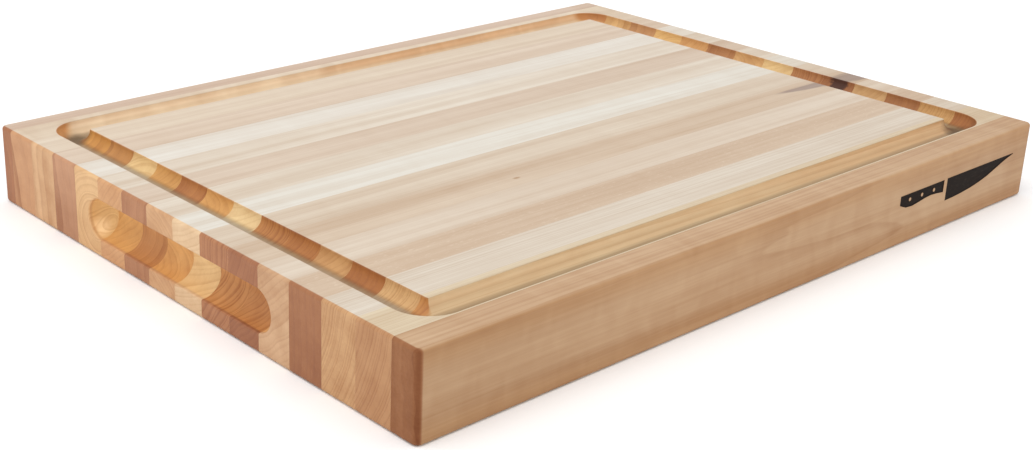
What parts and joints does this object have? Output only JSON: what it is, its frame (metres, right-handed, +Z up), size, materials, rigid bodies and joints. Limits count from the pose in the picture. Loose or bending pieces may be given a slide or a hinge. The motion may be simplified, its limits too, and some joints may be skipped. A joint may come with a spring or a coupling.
{
  "type": "cutting board",
  "caption": "Thick edge-grain wooden cutting board of glued staves, with a juice groove round the top and a finger grip routed into each end.",
  "frame": {"origin": "under the middle of the board, on the surface it lies on", "axes": "+X along the grain, from one finger grip to the other; +Y across the staves, from the front edge to the back edge; +Z up, out of the cutting surface"},
  "size_m": [0.4064, 0.3048, 0.0381],
  "materials": {
    "maple_pale": "sanded and lightly oiled, satin",
    "maple_tan": "sanded and lightly oiled, satin",
    "maple_pink": "sanded and lightly oiled, satin",
    "maple_brown": "sanded and lightly oiled, satin"
  },
  "bodies": {
    "root": {"front_edge_stave": "maple_brown", "stave_02": "maple_tan", "stave_03": "maple_tan", "stave_04": "maple_brown", "stave_05": "maple_tan", "stave_06": "maple_brown", "stave_07": "maple_tan", "stave_08": "maple_pale", "stave_09": "maple_tan", "stave_10": "maple_pink", "stave_11": "maple_tan", "stave_12": "maple_pale", "stave_13": "maple_pink", "stave_14": "maple_tan", "stave_15": "maple_tan", "back_edge_stave": "maple_pink"}
  },
  "joints": []
}
